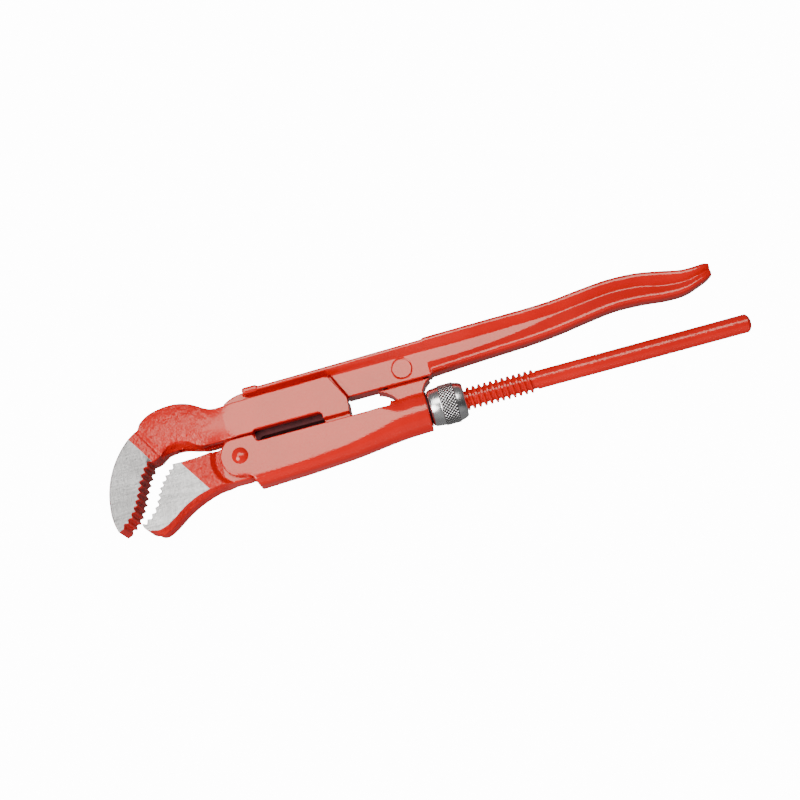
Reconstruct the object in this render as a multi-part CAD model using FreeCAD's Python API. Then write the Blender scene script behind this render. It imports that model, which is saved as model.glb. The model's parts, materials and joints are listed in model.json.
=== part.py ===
"""Swedish-pattern pipe wrench with S-shaped jaws, for pipes up to one inch.

The wrench lies flat: X runs along the spindle to the grip ends, Y across the tool towards the
handle, and Z through its thickness.  Every piece is drawn about the pivot rivet's axis, with
Z = 0 on the middle plane.  At the end the whole tool is moved so that the origin is below the
middle of its bounding box, on the surface it lies on.
"""
import FreeCAD
import Part

import math
import os

# ---- driving dimensions, mm ----------------------------------------------------------------
JAW_HALF = 8.0             # half the thickness of both jaws and of the fork's cheeks
WEB_HALF = 3.0             # handle web between the fork's cheeks
BOSS_HALF = 5.0            # handle boss between the housing's ears
BEAM_HALF = 4.6            # handle beam behind the fork, and the lug under it
FLANGE_HALF = 8.0          # upper handle flange, over the fork
EAR_HALF = 8.6             # housing over its ears
FORGED_GAP = 0.35          # play between forged faces, each side
RUNNING_GAP = 0.06         # radial play of a turning fit

TOOTH_PITCH = 3.45
TOOTH_DEPTH = 1.9
GRIP_END = 253.0           # handle tip, along X
SPINDLE_END = 263.9        # spindle tip, along X

JAW_TRAVEL = 33.0          # stroke of the outer jaw
CHEEK_END = 59.0           # right end of the fork at its foot
CHEEK_LEAN = 6.7           # how much the fork's end leans back towards its top
CHEEK_TOP = 28.8           # top edge of the fork
CHEEK_BOTTOM = 10.4        # lower edge of the fork
FOOT_LENGTH = 14.2         # foot that runs in the housing
NECK_SWELL = 0.9           # neck thicker than the cheeks by this much each side
HEAD_SWELL = 0.5           # ground head of the outer jaw, the same way
LEDGE_HALF = 4.0           # drafted flanks are widest up to this height
FOOT_BOTTOM = 7.7          # lower edge of the foot's full-width part

EAR_RADIUS = 10.2
EAR_TOP = 9.3
CHANNEL_TOP = 5.2          # top edge of the housing's side walls
CHANNEL_FLOOR = 4.0        # thickness under the channel
TUBE_END = 97.0            # right face of the housing
TUBE_LENGTH = 17.0
TUBE_TOP = 8.5
TUBE_BOTTOM = -11.3
TUBE_HALF = 10.0

BEAM_BOTTOM = 15.9         # underside of the handle beam above the housing
BEAM_TOP = 34.4            # top of the handle beam
RIVET_X, RIVET_Y = 89.3, 23.1
TONGUE_HALF = 2.2
TONGUE_TOP = 28.6
STOP_PLAY = 1.3            # play of the handle rivet in the tongue's long hole, each way
STOP_CLEAR = 0.5           # play of the rivet across that hole

THREAD_PITCH = 3.0
THREAD_RADIUS = 5.8
THREAD_ROOT = 4.2
THREAD_CLEAR = 0.4         # round the thread, inside the housing
THREAD_START = 92.0
THREAD_SPARE = 4.2         # thread left behind the nut with the jaw fully open
ROD_RADIUS = 4.75
SEAT_RADIUS = 4.0          # spindle end in the fork's foot

NUT_LENGTH = 18.4
NUT_RADIUS = 10.4
HUB_RADIUS = 7.6
HUB_LENGTH = 9.6
WASHER_THICK = 0.6
WASHER_WIDTH = 1.2
RING_THICK = 1.2
RING_DEPTH = 0.9

PIVOT_RADIUS = 3.5
DOME_RADIUS = 4.25
DOME_HEIGHT = 1.9
RIVET_SHANK = 3.2
RIVET_HEAD = 4.8
RIVET_GROOVE = 0.55        # ring-shaped groove round the flush head
HEAD_DEPTH = 0.9
SPRING_THICK = 0.5
PIN_RADIUS = 1.8

FAR = 400.0                # longer than the tool, for cutters
X_AXIS = FreeCAD.Vector(1, 0, 0)
Z_AXIS = FreeCAD.Vector(0, 0, 1)


# ---- drawing helpers -------------------------------------------------------------------------
def at(x, y, z=0.0):
    return FreeCAD.Vector(x, y, z)


def smooth(points):
    """One smooth curve through the points."""
    curve = Part.BSplineCurve()
    curve.interpolate([at(*p) for p in points])
    return curve.toShape()


def outline(start, *steps):
    """A closed face in the XY plane: a step is a corner, an arc or a smooth curve."""
    here, edges = start, []
    for step in steps:
        if step[0] == "arc":
            edges.append(Part.Arc(at(*here), at(*step[1]), at(*step[2])).toShape())
            here = step[2]
        elif step[0] == "curve":
            edges.append(smooth([here] + list(step[1])))
            here = step[1][-1]
        else:
            edges.append(Part.LineSegment(at(*here), at(*step)).toShape())
            here = step
    if math.dist(here, start) > 1e-6:
        edges.append(Part.LineSegment(at(*here), at(*start)).toShape())
    return Part.Face(Part.Wire(edges))


def slab(face, half, low=None):
    """The face as a plate from -half (or low) to half through the thickness."""
    bottom = -half if low is None else low
    moved = face.copy()
    moved.translate(at(0, 0, bottom))
    return moved.extrude(at(0, 0, half - bottom))


def block(x0, x1, y0, y1, half):
    return slab(outline((x0, y0), (x1, y0), (x1, y1), (x0, y1)), half)


def rod(x0, x1, radius):
    return Part.makeCylinder(radius, x1 - x0, at(x0, 0), X_AXIS)


def pin(x, y, radius, half):
    return Part.makeCylinder(radius, 2 * half, at(x, y, -half), Z_AXIS)


def turned(profile):
    """A solid of revolution about the spindle's axis from (x, radius) points."""
    return outline(*profile).revolve(at(0, 0), X_AXIS, 360)


def drafted(wide, narrow, half):
    """A forging's drafted flank: the wide outline up to the ledge, the narrow one at the faces."""
    layers = []
    for face, height in ((wide, LEDGE_HALF), (narrow, half)):
        wire = face.OuterWire.copy()
        wire.translate(at(0, 0, height))
        layers.append(wire)
    return slab(wide, LEDGE_HALF).fuse(both_sides(Part.makeLoft(layers, True, True)))


def both_sides(shape):
    """The shape and its mirror image below the middle plane."""
    return shape.fuse(shape.mirror(at(0, 0), Z_AXIS))


def teeth(guide):
    """Saw teeth along a guide curve, tips on the curve and roots to its left-hand side."""
    edge = smooth(guide)
    count = max(3, round(edge.Length / TOOTH_PITCH))
    marks = edge.discretize(Number=2 * count + 1)
    points = []
    for i, mark in enumerate(marks):
        if i % 2 == 0:
            points.append((mark.x, mark.y))
            continue
        along = (marks[i + 1] - marks[i - 1]).normalize()
        points.append((mark.x + along.y * -TOOTH_DEPTH, mark.y + along.x * TOOTH_DEPTH))
    return points


def refined(rows, parts):
    """The rows of a table with smooth in-between rows, each gap cut into the given parts."""
    table = []
    for i in range(len(rows) - 1):
        before, after = rows[max(i - 1, 0)], rows[min(i + 2, len(rows) - 1)]
        low, high = rows[i], rows[i + 1]
        gap = high[0] - low[0]
        for step in range(parts):
            t = step / parts
            h = (2 * t**3 - 3 * t**2 + 1, t**3 - 2 * t**2 + t, 3 * t**2 - 2 * t**3, t**3 - t**2)
            row = [low[0] + t * gap]
            for a, b, c, d in zip(before[1:], low[1:], high[1:], after[1:]):
                slope_low = (c - a) / (high[0] - before[0]) * gap
                slope_high = (d - b) / (after[0] - low[0]) * gap
                row.append(h[0] * b + h[1] * slope_low + h[2] * c + h[3] * slope_high)
            table.append(row)
    return table + [list(rows[-1])]


def rounded_section(x, top, bottom, half, radius):
    """A rounded rectangle across the X axis, as a wire of four lines and four arcs."""
    y0, y1, z1 = bottom, top, half
    skew = radius * (1 - math.sqrt(0.5))
    corners = [
        ((y0, -z1 + radius), (y0 + skew, -z1 + skew), (y0 + radius, -z1)),
        ((y1 - radius, -z1), (y1 - skew, -z1 + skew), (y1, -z1 + radius)),
        ((y1, z1 - radius), (y1 - skew, z1 - skew), (y1 - radius, z1)),
        ((y0 + radius, z1), (y0 + skew, z1 - skew), (y0, z1 - radius)),
    ]
    edges = []
    for i, corner in enumerate(corners):
        arc = [at(x, y, z) for y, z in corner]
        edges.append(Part.Arc(*arc).toShape())
        nxt = at(x, *corners[(i + 1) % 4][0])
        edges.append(Part.LineSegment(arc[2], nxt).toShape())
    return Part.Wire(edges)


def polygon_section(x, half_outline):
    """A symmetric polygon across the X axis, from the (z, y) points of its +Z half, top down."""
    right = [at(x, y, z) for z, y in half_outline]
    left = [at(x, y, -z) for z, y in reversed(half_outline)]
    return Part.makePolygon(right + left + right[:1])


# ---- shared outlines -------------------------------------------------------------------------
FOOT_START = CHEEK_END - FOOT_LENGTH
CHEEK_SHOULDER = 15.3      # where the fork's end starts to lean
SHOULDER_GAP = 0.9         # fork's end to the thick beam, with the jaw fully closed
FORK_SLOT = WEB_HALF + FORGED_GAP
FORK_FLOOR = FOOT_BOTTOM - 0.3      # bottom of the fork's slot, between the cheeks at the foot
FOOT_HALF = BOSS_HALF - 0.1
CHANNEL_HALF = BOSS_HALF + FORGED_GAP
TUBE_START = TUBE_END - TUBE_LENGTH
NUT_START = TUBE_END + WASHER_THICK + 0.1
THREAD_END = NUT_START + NUT_LENGTH + JAW_TRAVEL + THREAD_SPARE


# ---- outer jaw ---------------------------------------------------------------------------------
def outer_jaw():
    """S-jaw, neck and the fork that straddles the handle's web; its foot runs in the housing."""
    row = teeth([(-64.4, -21.0), (-56.6, -13.4), (-52.5, -4.6), (-49.5, 2.4), (-44.1, 9.4)])
    neck_top = [(-10.2, 28.6), (-18.5, 33.3), (-28.5, 36.0), (-38.0, 35.2), (-44.6, 32.4),
                (-47.6, 28.0)]
    head = outline(
        (-36.0, 14.6), (-36.0, 30.0), (-47.6, 28.0), (-53.8, 23.9),
        ("arc", (-66.1, 7.0), (-69.5, -9.5)), ("arc", (-69.2, -16.0), (-67.4, -22.4)),
        *row, ("curve", [(-41.6, 10.2), (-38.4, 12.4), (-36.0, 14.2)]))
    high_arch = [(-34.2, 15.4), (-29.5, 16.1), (-24.3, 14.7), (-20.2, 11.9), (-15.5, CHEEK_BOTTOM)]
    low_arch = [(-35.8, 12.2), (-31.0, 12.7), (-26.2, 12.2), (-22.0, 10.9), (-15.5, CHEEK_BOTTOM)]
    arches = [outline((-47.6, 28.0), foot, ("curve", arch), (-8.0, CHEEK_BOTTOM), (-8.0, 28.2),
                      ("curve", neck_top))
              for foot, arch in (((-39.4, 11.2), low_arch), ((-38.4, 13.0), high_arch))]
    fork = outline(
        (-15.5, CHEEK_BOTTOM), (9.0, CHEEK_BOTTOM), (9.8, CHEEK_BOTTOM + 1),
        (FOOT_START - 1.6, CHEEK_BOTTOM + 1),
        ("arc", (FOOT_START - 0.5, CHEEK_BOTTOM + 0.5), (FOOT_START, CHEEK_BOTTOM - 0.6)),
        (FOOT_START, FOOT_BOTTOM), (CHEEK_END - 0.4, FOOT_BOTTOM), (CHEEK_END, CHEEK_SHOULDER),
        (CHEEK_END - CHEEK_LEAN, CHEEK_TOP - 0.9), (CHEEK_END - CHEEK_LEAN - 2, CHEEK_TOP),
        (-8.0, CHEEK_TOP - 0.7), (-15.5, CHEEK_TOP - 0.7))
    foot = block(FOOT_START + 0.4, CHEEK_END - 0.6, -SEAT_RADIUS - 2.2, CHEEK_BOTTOM + 2, FOOT_HALF)
    neck_solid = drafted(*arches, JAW_HALF + NECK_SWELL)
    fade = Part.Face(Part.makePolygon([at(-30.0, 0, JAW_HALF + NECK_SWELL), at(-4.0, 0, JAW_HALF - 0.3),
                                       at(-4.0, 0, 20.0), at(-30.0, 0, 20.0),
                                       at(-30.0, 0, JAW_HALF + NECK_SWELL)]))
    fade.translate(at(0, -50.0))
    neck_solid = neck_solid.cut(both_sides(fade.extrude(at(0, 150.0))))
    body = slab(head, JAW_HALF + HEAD_SWELL).multiFuse([neck_solid, slab(fork, JAW_HALF), foot])
    slot = outline(
        (FAR, FORK_FLOOR), (FAR, 60.0), (-9.0, 60.0), (-9.0, 29.5),
        ("arc", (-22.0, 23.0), (-31.0, 13.0)), (-31.0, 0.0), (FOOT_START, 0.0),
        (FOOT_START, FORK_FLOOR))
    body = body.cut(slab(slot, FORK_SLOT))
    body = body.cut(rod(FOOT_START + 2.4, CHEEK_END + 1, SEAT_RADIUS))
    return body.cut(pin(FOOT_START + FOOT_LENGTH / 2, 0, PIN_RADIUS, FOOT_HALF + 1)).removeSplitter()


def spindle():
    """Round bar pinned in the fork's foot, with a trapezoidal thread where the nut runs."""
    seat = rod(FOOT_START + 2.4, CHEEK_END + 1, SEAT_RADIUS)
    shank = rod(CHEEK_END + 1, THREAD_START, ROD_RADIUS)
    core = rod(THREAD_START, THREAD_END, THREAD_ROOT)
    bar = rod(THREAD_END, SPINDLE_END - 2, ROD_RADIUS)
    nose = turned([(SPINDLE_END - 2, 0), (SPINDLE_END, 0),
                   ("arc", (SPINDLE_END - 0.6, ROD_RADIUS * 0.72), (SPINDLE_END - 2, ROD_RADIUS))])
    turns = THREAD_END - THREAD_START - THREAD_PITCH
    helix = Part.makeHelix(THREAD_PITCH, turns, THREAD_ROOT)
    inside, crest = THREAD_ROOT - 0.3, THREAD_RADIUS
    wide, narrow = 0.36 * THREAD_PITCH, 0.14 * THREAD_PITCH
    profile = Part.makePolygon([at(inside, 0, -wide), at(crest, 0, -narrow), at(crest, 0, narrow),
                                at(inside, 0, wide), at(inside, 0, -wide)])
    ridge = Part.Wire(helix.Edges).makePipeShell([profile], True, True)
    ridge.rotate(at(0, 0), at(0, 1), 90)
    ridge.translate(at(THREAD_START + THREAD_PITCH / 2, 0))
    body = seat.multiFuse([shank, bar, nose]).fuse(core).fuse(ridge)
    return body.cut(pin(FOOT_START + FOOT_LENGTH / 2, 0, PIN_RADIUS, FOOT_HALF)).removeSplitter()


def spindle_pin():
    return pin(FOOT_START + FOOT_LENGTH / 2, 0, PIN_RADIUS, FOOT_HALF)


# ---- handle with the inner jaw -----------------------------------------------------------------
def inner_jaw():
    """Lower S-jaw up to its shoulder round the housing's ear, and the boss on the pivot."""
    row = teeth([(-34.4, 5.2), (-39.6, 0.0), (-43.7, -5.8), (-46.3, -12.2), (-49.8, -17.0),
                 (-55.4, -20.6)])
    under = [(-46.4, -26.0), (-41.6, -24.2), (-33.0, -18.4), (-24.0, -14.0), (-14.0, -12.0),
             (-4.0, -12.0)]
    jaw = outline(
        (-6.0, 7.6), ("curve", [(-15.0, 6.0), (-25.0, 5.2), (-34.4, 5.2)]), *row[1:],
        ("arc", (-54.2, -23.8), (-50.6, -25.6)), ("curve", under),
        (2.0, -12.0), ("arc", (5.0, -8.6), (6.0, -5.0)), (0.0, 0.0))
    bellies = []
    for share in (1.0, 0.0):
        drops = [share * drop for drop in (2.3, 2.4, 2.4, 2.2, 1.0, 0.0)]
        low = [(x, y - drop) for (x, y), drop in zip(under, drops)]
        bellies.append(outline((-50.6, -25.6), ("curve", low), (-8.0, -6.0), (-33.0, -12.0),
                               (-46.0, -20.0)))
    shoulder, shelf = EAR_RADIUS + 5.3, EAR_RADIUS + 3.0
    ramp = Part.makeCone(shelf, shoulder, JAW_HALF - BOSS_HALF + 0.01, at(0, 0, BOSS_HALF))
    whole = slab(jaw, JAW_HALF).fuse(drafted(*bellies, JAW_HALF)).cut(both_sides(ramp))
    boss = pin(0, 0, EAR_RADIUS - 0.6, BOSS_HALF)
    return whole.fuse(boss)


GRIP_START = 103.0
GRIP_LENGTH = GRIP_END - GRIP_START
GRIP = [  # share of the length, bottom, top, groove bottom, groove top, upper and lower half
    (0.000, 16.4, 35.5, 22.6, 29.3, 8.0, 6.2),
    (0.122, 17.5, 35.9, 22.9, 29.1, 7.4, 6.0),
    (0.243, 18.3, 36.3, 24.2, 29.4, 6.8, 5.9),
    (0.351, 19.0, 36.5, 26.4, 29.8, 6.4, 5.8),
    (0.453, 20.4, 37.2, 29.3, 30.2, 6.2, 5.7),
    (0.547, 22.5, 38.8, 31.2, 31.6, 6.0, 5.6),
    (0.655, 24.5, 40.2, 32.8, 33.2, 5.8, 5.5),
    (0.750, 24.1, 39.6, 31.9, 32.3, 5.6, 5.4),
    (0.831, 22.7, 37.4, 29.1, 29.5, 5.4, 5.2),
    (0.899, 22.9, 35.2, 28.3, 28.7, 5.1, 5.0),
    (0.953, 25.5, 35.2, 29.6, 30.0, 4.6, 4.6),
    (0.980, 27.1, 35.7, 31.0, 31.4, 3.9, 3.9),
    (1.000, 29.0, 35.4, 31.9, 32.3, 2.5, 2.5),
]


def grip_section(share, bottom, top, groove_bottom, groove_top, upper, lower):
    """I-section whose web turns into a groove, with a rounded lower flange."""
    web = min(BEAM_HALF, lower - 1.4)
    rim_low = min(1.4, (groove_bottom - bottom) * 0.25)
    rim_top = min(1.4, (top - groove_top) * 0.3)
    crown = min(1.5, (groove_bottom - bottom) * 0.35)
    corner = min(1.0, (top - groove_top) * 0.25)
    return polygon_section(GRIP_START + share * GRIP_LENGTH, [
        (upper - corner, top), (upper, top - corner), (upper, top - corner - rim_top),
        (web, groove_top), (web, groove_bottom), (lower, bottom + crown + rim_low),
        (lower, bottom + crown), (lower * 0.85, bottom + crown * 0.42),
        (lower * 0.5, bottom + crown * 0.1)])


def beam_section(x, top):
    return polygon_section(x, [
        (FLANGE_HALF - 1.0, top), (FLANGE_HALF, top - 0.8), (FLANGE_HALF, top - 2.2),
        (BEAM_HALF, 29.4), (BEAM_HALF, BEAM_BOTTOM)])


def flange_section(x, top):
    return polygon_section(x, [
        (FLANGE_HALF - 1.0, top), (FLANGE_HALF, top - 0.8), (FLANGE_HALF, top - 2.2),
        (WEB_HALF, CHEEK_TOP + 1.6)])


def handle():
    """I-section handle, its web down to the pivot boss, and the inner jaw, in one forging."""
    grip = Part.makeLoft([grip_section(*row) for row in refined(GRIP, 3)], True, False)
    beam = Part.makeLoft([beam_section(52.0, BEAM_TOP - 0.3), beam_section(GRIP_START, BEAM_TOP + 0.4)],
                         True, True)
    lean = CHEEK_END + SHOULDER_GAP
    clear = outline((30.0, 0.0), (lean, 0.0), (lean, CHEEK_SHOULDER),
                    (lean - CHEEK_LEAN, CHEEK_TOP + 0.8), (lean - CHEEK_LEAN - 2, CHEEK_TOP + 1.2),
                    (30.0, CHEEK_TOP + 1.2))
    beam = beam.cut(both_sides(slab(clear, FAR, WEB_HALF)))
    flange = Part.makeLoft([flange_section(11.0, BEAM_TOP - 0.8), flange_section(54.0, BEAM_TOP - 0.3)],
                           True, True)
    bump = block(7.8, 16.2, CHEEK_TOP + 2.0, BEAM_TOP + 0.1, FLANGE_HALF + 0.6)
    bump = bump.makeFillet(1.4, bump.Edges)
    web = slab(outline(
        (-9.0, 4.0), (-7.6, 8.0), ("curve", [(-6.4, 18.0), (-3.4, 30.2)]),
        ("curve", [(1.0, 32.4), (8.0, BEAM_TOP - 0.8)]), (62.0, BEAM_TOP - 1.2), (62.0, BEAM_BOTTOM),
        (CHEEK_END - 0.3, BEAM_BOTTOM), (CHEEK_END - 0.3, FORK_FLOOR + 0.8),
        (13.0, FORK_FLOOR + 0.8), ("arc", (10.6, 6.4), (9.0, 2.0)), (0.0, 0.0)), WEB_HALF)
    body = inner_jaw().multiFuse([web, flange, bump, beam, grip])
    slot = block(RIVET_X - 11.8, RIVET_X + 11.8, BEAM_BOTTOM - 1, TONGUE_TOP + 2.4,
                 TONGUE_HALF + FORGED_GAP)
    body = body.cut(slot)
    body = body.cut(pin(0, 0, PIVOT_RADIUS + RUNNING_GAP, JAW_HALF))
    body = body.cut(pin(RIVET_X, RIVET_Y, RIVET_SHANK, JAW_HALF))
    seat = pin(RIVET_X, RIVET_Y, RIVET_HEAD, FAR)
    groove = pin(RIVET_X, RIVET_Y, RIVET_HEAD + RIVET_GROOVE, FAR)
    body = body.cut(seat.cut(pin(RIVET_X, RIVET_Y, FAR, BEAM_HALF - HEAD_DEPTH)))
    body = body.cut(groove.cut(pin(RIVET_X, RIVET_Y, FAR, BEAM_HALF - 0.5)))
    return body.removeSplitter()


def handle_rivet():
    """Flush rivet through the beam; the housing's tongue has a long hole on it."""
    shank = pin(RIVET_X, RIVET_Y, RIVET_SHANK, BEAM_HALF)
    head = pin(RIVET_X, RIVET_Y, RIVET_HEAD, BEAM_HALF + 0.25)
    head = head.cut(pin(RIVET_X, RIVET_Y, RIVET_HEAD + 1, BEAM_HALF - HEAD_DEPTH))
    return shank.fuse(head).removeSplitter()


def handle_spring():
    """Bowed leaf spring between the tongue's top and the roof of the handle's slot."""
    roof, top = TONGUE_TOP + 2.4, TONGUE_TOP + 0.15
    ends = 9.6
    low = roof - SPRING_THICK
    bow = outline(
        (RIVET_X - ends, low), ("arc", (RIVET_X, top), (RIVET_X + ends, low)),
        (RIVET_X + ends, roof - 0.02),
        ("arc", (RIVET_X, top + SPRING_THICK), (RIVET_X - ends, roof - 0.02)))
    return slab(bow, TONGUE_HALF - 0.3)


# ---- housing -----------------------------------------------------------------------------------
def housing():
    """Channel with two ears for the pivot, a tube for the nut and a lug with its tongue."""
    reach = (TUBE_TOP - TUBE_BOTTOM) / 2 - 0.1
    rows = [  # x, top, bottom, half width, corner radius
        (-EAR_RADIUS - 2, 24.0, -17.3, EAR_HALF, 5.2),
        (14.0, 24.0, -16.6, EAR_HALF, 5.2),
        (38.0, 24.0, -15.6, EAR_HALF, 5.5),
        (58.0, 20.0, -14.4, EAR_HALF + 0.1, 6.6),
        (TUBE_START - 8.0, 13.0, -12.9, EAR_HALF + 0.6, 8.2),
        (TUBE_START + 2.0, TUBE_TOP, -11.9, TUBE_HALF - 0.1, reach - 0.3),
        (TUBE_END - 7.0, TUBE_TOP, -11.5, TUBE_HALF, reach - 0.1),
        (TUBE_END, TUBE_TOP, TUBE_BOTTOM, TUBE_HALF, reach),
    ]
    skin = Part.makeLoft([rounded_section(*row) for row in refined(rows, 2)], True, False)
    side = outline(
        (8.6, EAR_TOP), ("arc", (9.0, CHANNEL_TOP + 2.4), (10.6, CHANNEL_TOP)),
        (TUBE_START - 1.0, CHANNEL_TOP), (TUBE_START + 2.5, 30.0), (TUBE_END, 30.0),
        (TUBE_END, -30.0), (12.0, -30.0), (6.1, -17.2), (3.6, -11.4),
        ("curve", [(1.0, -10.4), (-2.2, -9.96)]),
        ("arc", (-EAR_RADIUS, 0.0), (-4.2, EAR_TOP)))
    body = skin.common(slab(side, FAR))
    channel = outline(
        (-40.0, 60.0), (TUBE_START - 3.0, 60.0), (TUBE_START - 3.0, -6.0),
        (60.0, -14.2 + CHANNEL_FLOOR), (6.0, -16.8 + CHANNEL_FLOOR), (2.0, -40.0),
        (-40.0, -40.0))
    body = body.cut(slab(channel, CHANNEL_HALF))
    shoulder = BEAM_BOTTOM - 1.3
    lug = outline(
        (RIVET_X - 15.3, shoulder), ("arc", (RIVET_X - 9.0, shoulder - 3.2), (RIVET_X - 5.2, 5.6)),
        (RIVET_X - 5.2, 2.0), (RIVET_X + 6.6, 2.0), (RIVET_X + 6.6, 5.6),
        ("arc", (RIVET_X + 8.4, 10.9), (RIVET_X + 12.6, shoulder)))
    tongue = outline(
        (RIVET_X - 9.4, shoulder - 1), (RIVET_X + 9.4, shoulder - 1),
        (RIVET_X + 9.4, TONGUE_TOP - 5), ("arc", (RIVET_X, TONGUE_TOP), (RIVET_X - 9.4, TONGUE_TOP - 5)))
    body = body.multiFuse([slab(lug, BEAM_HALF), slab(tongue, TONGUE_HALF)])
    hole = RIVET_SHANK + STOP_CLEAR
    ends = [pin(RIVET_X, RIVET_Y + s * STOP_PLAY, hole, JAW_HALF) for s in (-1, 1)]
    middle = block(RIVET_X - hole, RIVET_X + hole, RIVET_Y - STOP_PLAY, RIVET_Y + STOP_PLAY, JAW_HALF)
    body = body.cut(ends[0].fuse(ends[1]).fuse(middle))
    body = body.cut(rod(THREAD_START - JAW_TRAVEL - 2, TUBE_END + 1, THREAD_RADIUS + THREAD_CLEAR))
    body = body.cut(rod(TUBE_END - HUB_LENGTH - 0.5, TUBE_END + 1, HUB_RADIUS + RUNNING_GAP))
    ring_x = TUBE_END - HUB_LENGTH + 1.6
    body = body.cut(rod(ring_x, ring_x + RING_THICK, HUB_RADIUS + RING_DEPTH))
    return body.cut(pin(0, 0, PIVOT_RADIUS, FAR)).removeSplitter()


def pivot_rivet():
    """Rivet with a domed head on each ear."""
    dome_ball = (DOME_RADIUS ** 2 + DOME_HEIGHT ** 2) / (2 * DOME_HEIGHT)
    ball = Part.makeSphere(dome_ball, at(0, 0, EAR_HALF + DOME_HEIGHT - dome_ball))
    dome = ball.common(slab(outline((-9, -9), (9, -9), (9, 9), (-9, 9)), FAR, EAR_HALF))
    return pin(0, 0, PIVOT_RADIUS, EAR_HALF).fuse(both_sides(dome)).removeSplitter()


# ---- nut ---------------------------------------------------------------------------------------
def thrust_washer():
    washer = rod(TUBE_END, TUBE_END + WASHER_THICK, HUB_RADIUS + WASHER_WIDTH)
    return washer.cut(rod(TUBE_END, TUBE_END + WASHER_THICK, HUB_RADIUS + 0.3))


def retaining_ring():
    start = TUBE_END - HUB_LENGTH + 1.6
    ring = rod(start, start + RING_THICK, HUB_RADIUS + RING_DEPTH)
    ring = ring.cut(rod(start, start + RING_THICK, HUB_RADIUS - RING_DEPTH + 0.3))
    gap = block(start - 1, start + 3, 0, 20, 1.0)
    return ring.cut(gap)


def adjusting_nut():
    """Knurled nut; its hub turns in the housing's tube behind the retaining ring."""
    end = NUT_START + NUT_LENGTH
    band = (NUT_START + 6.2, NUT_START + 13.9)
    body = turned([
        (NUT_START, 0.0), (NUT_START, NUT_RADIUS - 2.0), (NUT_START + 1.6, NUT_RADIUS - 0.9),
        (band[0] - 0.3, NUT_RADIUS - 0.5), (band[0], NUT_RADIUS), (band[1], NUT_RADIUS),
        (band[1] + 0.3, NUT_RADIUS - 0.5), (end - 1.4, NUT_RADIUS - 1.3),
        (end, NUT_RADIUS - 2.4), (end, 0.0)])
    hub_start = TUBE_END - HUB_LENGTH
    body = body.fuse(rod(hub_start, NUT_START + 0.5, HUB_RADIUS))
    groove = rod(hub_start + 1.4, hub_start + 1.8 + RING_THICK, HUB_RADIUS + 1)
    groove = groove.cut(rod(hub_start, hub_start + 5, HUB_RADIUS - RING_DEPTH))
    bore = rod(hub_start - 1, end + 1, THREAD_RADIUS + RUNNING_GAP)
    return body.cut(groove).cut(bore).removeSplitter()


# ---- assembly ----------------------------------------------------------------------------------
PIECES = {
    "outer_jaw": outer_jaw,
    "spindle": spindle,
    "spindle_pin": spindle_pin,
    "handle": handle,
    "handle_rivet": handle_rivet,
    "handle_spring": handle_spring,
    "housing": housing,
    "pivot_rivet": pivot_rivet,
    "thrust_washer": thrust_washer,
    "retaining_ring": retaining_ring,
    "adjusting_nut": adjusting_nut,
}


def main():
    os.makedirs("parts", exist_ok=True)
    shapes = {name: make() for name, make in PIECES.items()}
    box = FreeCAD.BoundBox()
    for shape in shapes.values():
        shape.tessellate(0.01)
        box.add(shape.optimalBoundingBox(False))
    move = at(-box.Center.x, -box.Center.y, -box.ZMin)
    for name, shape in shapes.items():
        shape.translate(move)
        solids = shape.Solids
        print(name, "solids", len(solids), "volume", round(shape.Volume, 1), "valid", shape.isValid())
        shape.exportStep(f"parts/{name}.step")
    print("pivot axis at", [round(v, 4) for v in move])


main()
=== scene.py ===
"""Looks of the Swedish-pattern pipe wrench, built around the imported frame.

Lengths are in metres.  Points of the tool are given in millimetres from the pivot rivet's axis
on the middle plane, and `place` turns them into frame coordinates.
"""
import json
import math

import bmesh
import bpy
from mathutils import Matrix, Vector

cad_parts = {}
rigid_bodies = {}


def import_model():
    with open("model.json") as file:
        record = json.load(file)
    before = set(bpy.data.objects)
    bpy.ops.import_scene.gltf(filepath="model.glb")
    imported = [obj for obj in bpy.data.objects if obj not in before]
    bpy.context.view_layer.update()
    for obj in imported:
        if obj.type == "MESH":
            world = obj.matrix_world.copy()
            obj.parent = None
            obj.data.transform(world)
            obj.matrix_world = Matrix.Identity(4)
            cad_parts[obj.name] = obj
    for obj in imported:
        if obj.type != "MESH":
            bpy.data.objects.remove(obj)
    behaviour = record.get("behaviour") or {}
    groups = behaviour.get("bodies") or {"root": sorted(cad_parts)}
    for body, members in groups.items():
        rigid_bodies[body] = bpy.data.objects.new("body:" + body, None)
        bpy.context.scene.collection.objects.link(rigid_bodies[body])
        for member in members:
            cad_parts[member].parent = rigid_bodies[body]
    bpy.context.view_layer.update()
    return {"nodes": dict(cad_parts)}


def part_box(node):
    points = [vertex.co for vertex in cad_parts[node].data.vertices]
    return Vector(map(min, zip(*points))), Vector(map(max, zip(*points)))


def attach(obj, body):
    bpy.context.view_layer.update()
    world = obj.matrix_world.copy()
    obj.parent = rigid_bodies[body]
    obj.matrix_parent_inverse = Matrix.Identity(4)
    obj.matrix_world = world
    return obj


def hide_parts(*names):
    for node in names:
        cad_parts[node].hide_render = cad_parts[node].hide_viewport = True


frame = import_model()
MM = 0.001


# ---- places from the frame -------------------------------------------------------------------
def middle(box):
    return (Vector(box[0]) + Vector(box[1])) / 2


PIVOT = middle(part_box("pivot_rivet"))
NUT_LOW, NUT_HIGH = (Vector(corner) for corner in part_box("adjusting_nut"))


def place(x, y, z=0.0):
    """A point given in millimetres from the pivot, in frame metres."""
    return PIVOT + Vector((x, y, z)) * MM


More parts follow.
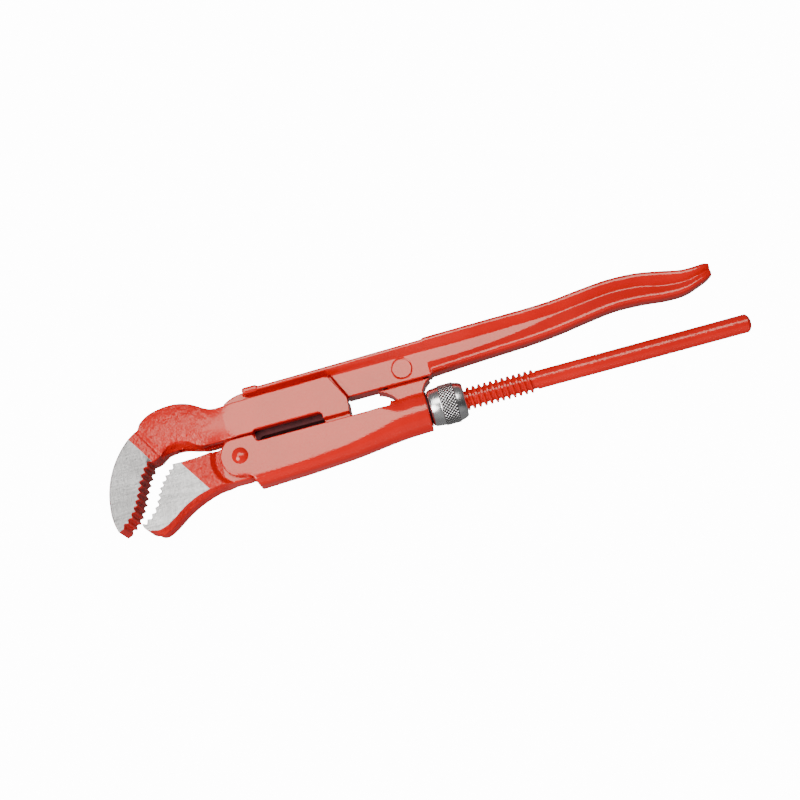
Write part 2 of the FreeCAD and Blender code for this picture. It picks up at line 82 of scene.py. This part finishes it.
# ---- material helpers --------------------------------------------------------------------------
class Nodes:
    """Short calls for a material's node tree."""

    def __init__(self, name):
        self.material = bpy.data.materials.new(name)
        self.material.use_nodes = True
        self.tree = self.material.node_tree
        self.shader = self.tree.nodes["Principled BSDF"]

    def add(self, kind, **values):
        node = self.tree.nodes.new(kind)
        for key, value in values.items():
            if key in node.inputs:
                node.inputs[key].default_value = value
            else:
                setattr(node, key, value)
        return node

    def link(self, source, target):
        self.tree.links.new(source, target)

    def position(self, scale=(1.0, 1.0, 1.0), spin=0.0):
        """The point on the piece, stretched along its axes and spun about Z by an angle."""
        mapping = self.add("ShaderNodeMapping")
        mapping.inputs["Scale"].default_value = scale
        mapping.inputs["Rotation"].default_value = (0.0, 0.0, spin)
        coordinates = self.add("ShaderNodeTexCoord").outputs["Object"]
        self.link(coordinates, mapping.inputs["Vector"])
        return mapping.outputs["Vector"]

    def noise(self, vector, scale, detail=3.0, roughness=0.5, distortion=0.0):
        node = self.add("ShaderNodeTexNoise", Scale=scale, Detail=detail, Roughness=roughness,
                        Distortion=distortion)
        self.link(vector, node.inputs["Vector"])
        return node.outputs["Fac"]

    def ramp(self, factor, *stops):
        """A colour ramp; a stop is its place and either one tone or a colour."""
        node = self.add("ShaderNodeValToRGB")
        self.link(factor, node.inputs["Fac"])
        elements = node.color_ramp.elements
        while len(elements) < len(stops):
            elements.new(0.5)
        for element, (where, colour) in zip(elements, stops):
            element.position = where
            element.color = (*colour, 1.0) if isinstance(colour, tuple) else (colour,) * 3 + (1.0,)
        return node.outputs["Color"]

    def multiply(self, a, b):
        node = self.add("ShaderNodeMath", operation="MULTIPLY")
        for slot, value in enumerate((a, b)):
            if isinstance(value, float):
                node.inputs[slot].default_value = value
            else:
                self.link(value, node.inputs[slot])
        return node.outputs["Value"]

    def falling(self, point, full, none):
        """One up to x = full, falling to zero at x = none, in millimetres."""
        apart = self.add("ShaderNodeSeparateXYZ")
        self.link(point, apart.inputs["Vector"])
        node = self.add("ShaderNodeMapRange", interpolation_type="SMOOTHSTEP")
        for socket, value in (("From Min", place(none, 0.0).x), ("From Max", place(full, 0.0).x)):
            node.inputs[socket].default_value = value
        self.link(apart.outputs["X"], node.inputs["Value"])
        return node.outputs["Result"]

    def total(self, a, b):
        node = self.add("ShaderNodeMath", operation="ADD")
        self.link(a, node.inputs[0])
        self.link(b, node.inputs[1])
        return node.outputs["Value"]

    def bump(self, height, distance):
        node = self.add("ShaderNodeBump", Strength=1.0, Distance=distance)
        self.link(height, node.inputs["Height"])
        self.link(node.outputs["Normal"], self.shader.inputs["Normal"])

    def set(self, **values):
        for key, value in values.items():
            self.shader.inputs[key.replace("_", " ")].default_value = value


DEEP_RED = (0.54, 0.004, 0.004)
LIGHT_RED = (0.64, 0.006, 0.005)
WARM_GLOSS = (1.0, 0.86, 0.70, 1.0)
SKIN_HEIGHT = 0.0016       # forged skin and orange peel, in metres at full strength
SCRATCH_HEIGHT = 0.0002
TURNING_HEIGHT = 0.00003


def enamel(name, forged, shine, fade=None):
    """Glossy red enamel; forged is how strongly the hammered skin shows through it.

    The skin can fade out between two places along X, given in millimetres.
    """
    n = Nodes(name)
    n.set(Roughness=0.13 + 0.25 * forged, IOR=shine, Specular_Tint=WARM_GLOSS)
    point = n.position()
    cloud = n.noise(point, 42.0, 3.0)
    n.link(n.ramp(cloud, (0.3, DEEP_RED), (0.7, LIGHT_RED)), n.shader.inputs["Base Color"])
    peel = n.noise(point, 900.0, 2.0)
    waves = n.noise(n.position((1.0, 0.6, 1.0), 0.5), 520.0, 3.0, 0.6, 0.5)
    dents = n.noise(point, 210.0, 2.0)
    skin = n.multiply(n.total(waves, dents), forged)
    if fade:
        skin = n.multiply(skin, n.falling(point, fade[0], fade[1]))
    n.bump(n.total(n.multiply(peel, 0.05), skin), SKIN_HEIGHT)
    return n.material


def ground_steel(name, dark, light):
    """Bare steel with crossed grinding scratches, between two tones."""
    n = Nodes(name)
    n.set(Metallic=1.0)
    lines = n.noise(n.position((1.0, 0.06, 1.0), 0.75), 1100.0, 3.0, 0.6)
    cross = n.noise(n.position((0.06, 1.0, 1.0), 0.35), 800.0, 3.0, 0.6)
    cloud = n.noise(n.position(), 90.0, 4.0, 0.6)
    speck = n.noise(n.position(), 900.0, 2.0)
    mixed = n.total(n.multiply(n.total(cloud, speck), 0.2), n.multiply(n.total(lines, cross), 0.3))
    tone = n.ramp(mixed, (0.40, dark), (0.60, light))
    n.link(tone, n.shader.inputs["Base Color"])
    n.link(n.ramp(lines, (0.35, 0.3), (0.65, 0.6)), n.shader.inputs["Roughness"])
    n.bump(n.total(n.total(lines, cross), speck), SCRATCH_HEIGHT)
    return n.material


def painted_shade_metal(name, light, tint):
    """Painted shade on metal, a dark stand-in for shadow: the web in the notch, the thrust washer's gap,
    and the nut's grooves.
    """
    n = Nodes(name)
    n.set(Metallic=0.7)
    cloud = n.noise(n.position(), 320.0, 3.0)
    bright = tuple(light * share for share in tint)
    tone = n.ramp(cloud, (0.3, tuple(0.5 * share for share in bright)), (0.7, bright))
    n.link(tone, n.shader.inputs["Base Color"])
    n.link(n.ramp(cloud, (0.3, 0.55), (0.7, 0.7)), n.shader.inputs["Roughness"])
    return n.material


def plated_steel():
    """Bright plating on the nut, with faint turning marks."""
    n = Nodes("plated_steel")
    n.set(Metallic=1.0)
    marks = n.noise(n.position((1.0, 0.03, 0.03)), 2200.0, 2.0)
    cloud = n.noise(n.position(), 160.0)
    tone = n.ramp(cloud, (0.3, (0.80, 0.80, 0.81)), (0.8, (0.90, 0.90, 0.91)))
    n.link(tone, n.shader.inputs["Base Color"])
    n.link(n.ramp(marks, (0.3, 0.2), (0.7, 0.32)), n.shader.inputs["Roughness"])
    n.bump(marks, TURNING_HEIGHT)
    return n.material


RED = enamel("red_enamel", 0.02, 1.66)
FORGED_RED = enamel("red_enamel_forged", 0.6, 1.5)
NECK_RED = enamel("red_enamel_neck", 0.5, 1.58, (-22.0, -6.0))
STEEL = ground_steel("ground_steel", 0.34, 0.68)
DARK_STEEL = ground_steel("ground_steel_dark", 0.24, 0.50)
# painted shade: dark materials for the shadowed notch web, the washer's gap and the knurl's grooves
PAINTED_SHADE = painted_shade_metal("painted_shade_metal", 0.09, (1.0, 0.2, 0.24))
KNURL_GROOVE_SHADE = painted_shade_metal("knurl_groove_shade", 0.05, (1.0, 0.8, 0.8))
PLATED = plated_steel()


# ---- mesh helpers --------------------------------------------------------------------------------
def evaluated_copy(source, name):
    """The source with its modifiers applied, as a new object."""
    graph = bpy.context.evaluated_depsgraph_get()
    mesh = bpy.data.meshes.new_from_object(source.evaluated_get(graph))
    mesh.materials.clear()
    piece = bpy.data.objects.new(name, mesh)
    bpy.context.scene.collection.objects.link(piece)
    return piece


def softened(node, name, voxel, rounds):
    """A forging's skin: the CAD shape remeshed, with every edge slightly rounded.

    voxel is the remesh size in millimetres, and rounds is the number of smoothing passes.
    """
    rough = evaluated_copy(frame["nodes"][node], name + "_draft")
    remesh = rough.modifiers.new("remesh", "REMESH")
    remesh.mode = "VOXEL"
    remesh.voxel_size = voxel * MM
    smooth = rough.modifiers.new("round", "SMOOTH")
    smooth.factor = 0.5
    smooth.iterations = rounds
    piece = evaluated_copy(rough, name)
    bpy.data.objects.remove(rough)
    piece.data.shade_smooth()
    return piece


FULL_CROWN = 1.3           # half widths from the centre curve at which the drop stops growing
FACE_HEIGHT = 6.0          # both flat faces of a forging lie farther than this from the middle


def crown(piece, curve, half_width, drop, ends, first, last):
    """Round a flat forged face off: it drops away from a centre curve towards its edges.

    curve is a list of (x, y) along the face; drop is a share of the height; and it fades in and
    out over the two lengths `ends`, at the first and last x.  All lengths are in millimetres.
    """
    for vertex in piece.data.vertices:
        point = (vertex.co - PIVOT) / MM
        if not first < point.x < last:
            continue
        near = min(point_to_run(point, a, b) for a, b in zip(curve, curve[1:]))
        fade = min(1.0, (point.x - first) / ends[0], (last - point.x) / ends[1])
        fade = fade * fade * (3 - 2 * fade)
        share = min(FULL_CROWN, near / half_width) ** 2
        vertex.co.z = PIVOT.z + (vertex.co.z - PIVOT.z) * (1 - fade * drop * share)


def score(piece, start, end, half_width, depth):
    """A round-bottomed groove along a line across both flat faces, all in millimetres."""
    for vertex in piece.data.vertices:
        point = (vertex.co - PIVOT) / MM
        away = point_to_run(point, start, end)
        if away < half_width and abs(point.z) > FACE_HEIGHT:
            sink = depth * math.cos(math.pi / 2 * away / half_width) ** 2
            vertex.co.z -= math.copysign(sink, point.z) * MM


def point_to_run(point, a, b):
    """Distance in the XY plane from a point to the straight run from a to b."""
    run = Vector((b[0] - a[0], b[1] - a[1]))
    way = Vector((point.x - a[0], point.y - a[1]))
    share = max(0.0, min(1.0, way.dot(run) / run.length_squared))
    return (way - run * share).length


def cut_along(piece, *planes):
    """Edges where each vertical plane, given by two points in millimetres, crosses the mesh."""
    mesh = bmesh.new()
    mesh.from_mesh(piece.data)
    for start, end in planes:
        a, b = place(*start), place(*end)
        along = (b - a).normalized()
        normal = Vector((along.y, -along.x, 0.0))
        bmesh.ops.bisect_plane(
            mesh, geom=mesh.verts[:] + mesh.edges[:] + mesh.faces[:], dist=1e-7, plane_co=a,
            plane_no=normal)
    mesh.to_mesh(piece.data)
    mesh.free()


def paint(piece, materials, choose):
    """Give each face the material that choose returns for its centre and normal."""
    for material in materials:
        piece.data.materials.append(material)
    numbers = {material.name: number for number, material in enumerate(materials)}
    for face in piece.data.polygons:
        centre = (face.center - PIVOT) / MM
        face.material_index = numbers[choose(centre, face.normal).name]


def left_of(point, start, end):
    """Whether the point is left of the line from start to end, all in millimetres."""
    rise = (end[0] - start[0]) * (point.y - start[1])
    return rise - (end[1] - start[1]) * (point.x - start[0]) > 0


# ---- forgings --------------------------------------------------------------------------------------
OUTER_GROUND = ((-44.1, 9.4), (-53.8, 23.9))      # where each jaw's ground face ends
INNER_GROUND = ((-19.9, -10.3), (-30.4, 5.1))
INNER_RIGHT = -15.0        # the inner jaw's ground face lies left of this
FLAT = 0.9                 # upright part of the normal from which a face counts as flat
NECK_RIGHT = -4.0          # the forged skin shows left of these
INNER_NECK_RIGHT = -10.0
WEB_FACE = 3.25            # handle web between the fork's cheeks, half thickness with a margin
NOTCH_LEFT, NOTCH_RIGHT, NOTCH_TOP = 9.0, 46.0, 12.5
NECK = ((-46.0, 20.0), (-38.0, 24.5), (-29.0, 26.0), (-20.0, 22.5), (-12.0, 19.0), (0.0, 19.0))
CREASE = ((-49.3, 27.6), (-39.9, 12.0))


def make_outer_jaw():
    piece = softened("outer_jaw", "outer_jaw_forging", voxel=0.36, rounds=1)
    cut_along(piece, OUTER_GROUND)

    def choose(centre, normal):
        if abs(normal.z) > FLAT and left_of(centre, *OUTER_GROUND):
            return DARK_STEEL
        return NECK_RED if centre.x < NECK_RIGHT else RED

    paint(piece, (RED, NECK_RED, DARK_STEEL), choose)
    crown(piece, NECK, half_width=9.0, drop=0.15, ends=(3.0, 14.0), first=-47.5, last=4.0)
    score(piece, *CREASE, half_width=1.5, depth=0.9)
    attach(piece, "jaw_body")
    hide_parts("outer_jaw")


def make_handle():
    piece = softened("handle", "handle_forging", voxel=0.40, rounds=2)
    cut_along(piece, INNER_GROUND)

    def choose(centre, normal):
        ground = left_of(centre, *INNER_GROUND) and centre.x < INNER_RIGHT
        if ground and abs(normal.z) > FLAT:
            return STEEL
        # painted shade: the web seen through the notch gets a dark material for the shadow inside the
        # channel
        in_notch = NOTCH_LEFT < centre.x < NOTCH_RIGHT and centre.y < NOTCH_TOP
        if in_notch and abs(centre.z) < WEB_FACE:
            return PAINTED_SHADE
        return FORGED_RED if centre.x < INNER_NECK_RIGHT else RED

    paint(piece, (RED, FORGED_RED, STEEL, PAINTED_SHADE), choose)
    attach(piece, "handle_body")
    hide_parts("handle")


def make_housing():
    piece = softened("housing", "housing_forging", voxel=0.5, rounds=3)
    paint(piece, (RED,), lambda centre, normal: RED)
    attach(piece, "housing_body")
    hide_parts("housing")


# ---- nut ---------------------------------------------------------------------------------------------
KNURL_DIAMONDS = 36
KNURL_DEPTH = 0.45
KNURL_SHARPNESS = 1.3
KNURL_SAMPLES = 14         # mesh points across one diamond
KNURL_RINGS = 48           # rings of mesh points along the knurled band
GROOVE_SHARE = 0.5         # part of the knurl's depth below which the grooves get painted shade
NUT_RADIUS = 10.4
NUT_SHOULDER = 9.9         # plain bands next to the knurl
KNURL_EDGE = 10.05
BARREL_LENGTH = 18.4       # from the hub's shoulder to the far end
HUB_RADIUS, BORE_RADIUS = 7.6, 5.9


def nut_profile():
    """Points (x, radius) from the hub to the far end, and where the knurled band lies."""
    start = (NUT_LOW.x - PIVOT.x) / MM
    end = (NUT_HIGH.x - PIVOT.x) / MM
    body = end - BARREL_LENGTH
    low, high = body + 6.2, body + 13.9
    points = [
        (start, BORE_RADIUS), (start, HUB_RADIUS), (body, HUB_RADIUS), (body, 8.4),
        (body + 0.5, 8.9), (body + 1.6, 9.5), (low - 0.5, NUT_SHOULDER), (low - 0.2, NUT_SHOULDER),
        (low, KNURL_EDGE)]
    step = (high - low) / KNURL_RINGS
    points += [(low + step * i, NUT_RADIUS) for i in range(1, KNURL_RINGS)]
    points += [
        (high, KNURL_EDGE), (high + 0.2, NUT_SHOULDER), (high + 0.5, 9.85), (end - 1.4, 9.1),
        (end - 0.4, 8.5), (end, 8.0), (end, BORE_RADIUS)]
    return points, low, high


def knurl_cut(x, angle, low):
    """How deep the diamond knurl goes at a place on the band."""
    lead = (x - low) * KNURL_DIAMONDS / NUT_RADIUS
    waves = [abs(math.sin((KNURL_DIAMONDS * angle + side * lead) / 2)) for side in (-1, 1)]
    return KNURL_DEPTH * (1 - min(waves)) ** KNURL_SHARPNESS


def make_nut():
    """The nut's barrel with a diamond knurl between two plain bands."""
    profile, low, high = nut_profile()
    around = KNURL_SAMPLES * KNURL_DIAMONDS
    mesh = bmesh.new()
    rings = []
    for x, radius in profile:
        ring = []
        for i in range(around):
            angle = 2 * math.pi * i / around
            r = radius - knurl_cut(x, angle, low) if low < x < high else radius
            ring.append(mesh.verts.new(place(x, r * math.cos(angle), r * math.sin(angle))))
        rings.append(ring)
    for near, far in zip(rings, rings[1:] + rings[:1]):
        for i in range(around):
            j = (i + 1) % around
            mesh.faces.new((near[i], near[j], far[j], far[i]))
    bmesh.ops.recalc_face_normals(mesh, faces=mesh.faces)
    data = bpy.data.meshes.new("nut_barrel")
    mesh.to_mesh(data)
    mesh.free()
    data.shade_smooth()
    data.materials.append(PLATED)
    data.materials.append(KNURL_GROOVE_SHADE)
    # painted shade: faces deep in the knurl's grooves get the darker plating, standing in for the shade
    # there
    for face in data.polygons:
        centre = (face.center - PIVOT) / MM
        depth = NUT_RADIUS - math.hypot(centre.y, centre.z)
        if low < centre.x < high and depth > GROOVE_SHARE * KNURL_DEPTH:
            face.material_index = 1
    piece = bpy.data.objects.new("nut_barrel", data)
    bpy.context.scene.collection.objects.link(piece)
    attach(piece, "nut_body")
    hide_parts("adjusting_nut")


def dress_cad_nodes():
    """Materials for the CAD nodes that keep their own shape."""
    # the thrust washer gets painted shade, standing in for the shaded gap beside the nut
    looks = {"spindle": RED, "spindle_pin": STEEL, "handle_rivet": RED, "handle_spring": STEEL,
             "pivot_rivet": RED, "thrust_washer": PAINTED_SHADE, "retaining_ring": STEEL}
    for node, material in looks.items():
        piece = frame["nodes"][node]
        piece.data.materials.clear()
        piece.data.materials.append(material)


# ---- stage --------------------------------------------------------------------------------------------
FLOOR_WHITE = (0.92, 0.92, 0.92, 1.0)
FLOOR_SIZE = 6.0
FLOOR_GAP = 0.0002         # the floor lies this far below the tool, so that they don't touch
FLOOR_LIGHT = 48.0


def make_floor():
    n = Nodes("floor_white")
    n.set(Roughness=0.9)
    n.shader.inputs["Base Color"].default_value = FLOOR_WHITE
    bpy.ops.mesh.primitive_plane_add(size=FLOOR_SIZE, location=(0.0, 0.0, -FLOOR_GAP))
    floor = bpy.context.object
    floor.name = "floor"
    floor.data.materials.append(n.material)
    floor.visible_diffuse = False
    floor.visible_glossy = False
    light_only(floor)


def light_only(floor):
    """A shadowless lamp for the floor alone, as a lit sweep behind a product is."""
    lit = bpy.data.collections.new("lit_floor")
    lit.objects.link(floor)
    data = bpy.data.lights.new("floor_light", "SUN")
    data.energy = FLOOR_LIGHT
    lamp = bpy.data.objects.new("floor_light", data)
    bpy.context.scene.collection.objects.link(lamp)
    lamp.light_linking.receiver_collection = lit
    lamp.light_linking.blocker_collection = lit


ROOM = (  # share of the way from -Y to +Y, brightness of the room seen that way
    (0.0, 0.30), (0.12, 0.30), (0.20, 0.05), (0.42, 0.05), (0.50, 0.12), (0.75, 0.14), (1.0, 0.12))
BOUNCE = (0.2, 0.2, 0.2, 1.0)    # light from below the horizon
HORIZON = 0.1                    # half height of the band where it takes over


def make_room():
    """The light of the room: brighter and darker bands across Y, and a floor's bounce below."""
    world = bpy.data.worlds.new("studio")
    world.use_nodes = True
    tree = world.node_tree
    direction = tree.nodes.new("ShaderNodeTexCoord").outputs["Generated"]
    along = tree.nodes.new("ShaderNodeVectorMath")
    along.operation = "DOT_PRODUCT"
    along.inputs[1].default_value = (0.0, 1.0, 0.0)
    tree.links.new(direction, along.inputs[0])
    ramp = tree.nodes.new("ShaderNodeMapRange")
    for socket, value in (("From Min", -1.0), ("From Max", 1.0)):
        ramp.inputs[socket].default_value = value
    tree.links.new(along.outputs["Value"], ramp.inputs["Value"])
    tones = tree.nodes.new("ShaderNodeValToRGB")
    tree.links.new(ramp.outputs["Result"], tones.inputs["Fac"])
    elements = tones.color_ramp.elements
    while len(elements) < len(ROOM):
        elements.new(0.5)
    for element, (where, tone) in zip(elements, ROOM):
        element.position = where
        element.color = (tone, tone, tone, 1.0)
    height = tree.nodes.new("ShaderNodeSeparateXYZ")
    tree.links.new(direction, height.inputs["Vector"])
    below = tree.nodes.new("ShaderNodeMapRange")
    for socket, value in (("From Min", HORIZON), ("From Max", -HORIZON)):
        below.inputs[socket].default_value = value
    tree.links.new(height.outputs["Z"], below.inputs["Value"])
    mix = tree.nodes.new("ShaderNodeMix")
    mix.data_type = "RGBA"
    factor, upper, lower = mix.inputs[0], mix.inputs[6], mix.inputs[7]
    tree.links.new(below.outputs["Result"], factor)
    tree.links.new(tones.outputs["Color"], upper)
    lower.default_value = BOUNCE
    colour = mix.outputs[2]
    tree.links.new(colour, tree.nodes["Background"].inputs["Color"])
    bpy.context.scene.world = world


def make_lamps():
    """Soft panels that light the tool and not the floor."""
    tool = bpy.data.collections.new("lit_tool")
    for piece in bpy.context.scene.objects:
        if piece.type == "MESH" and piece.name != "floor":
            tool.objects.link(piece)
    target = place(90.0, 0.0)

    def panel(name, where, size, power, tint, mirrored=True):
        data = bpy.data.lights.new(name, "AREA")
        data.shape = "RECTANGLE"
        data.size, data.size_y = size
        data.energy = power
        data.color = tint
        lamp = bpy.data.objects.new(name, data)
        lamp.light_linking.receiver_collection = tool
        lamp.visible_glossy = mirrored
        lamp.location = place(*where)
        aim = target - lamp.location
        lamp.rotation_euler = aim.to_track_quat("-Z", "Y").to_euler()
        bpy.context.scene.collection.objects.link(lamp)

    warm = (1.0, 0.97, 0.95)
    panel("overhead_softbox", (110.0, 240.0, 720.0), (0.9, 0.34), 6.0, (1.0, 0.97, 0.94))
    panel("key", (-450.0, -250.0, 700.0), (0.5, 0.5), 8.0, warm)
    panel("front", (90.0, -700.0, 60.0), (1.2, 0.25), 6.0, warm, mirrored=False)


CAMERA_PLACE = (104.3, -205.2, 711.9)
CAMERA_TURNS = (15.801, 5.756, -14.158)    # degrees about X, then Y, then Z
LENS = 66.15
SENSOR = 36.0


def make_camera():
    """Product view from in front and above, about 17 degrees off the vertical."""
    data = bpy.data.cameras.new("camera")
    data.sensor_width = SENSOR
    data.lens = LENS
    camera = bpy.data.objects.new("camera", data)
    camera.location = place(*CAMERA_PLACE)
    camera.rotation_euler = [math.radians(turn) for turn in CAMERA_TURNS]
    bpy.context.scene.collection.objects.link(camera)
    bpy.context.scene.camera = camera


make_outer_jaw()
make_handle()
make_housing()
make_nut()
dress_cad_nodes()
make_floor()
make_room()
make_lamps()
make_camera()
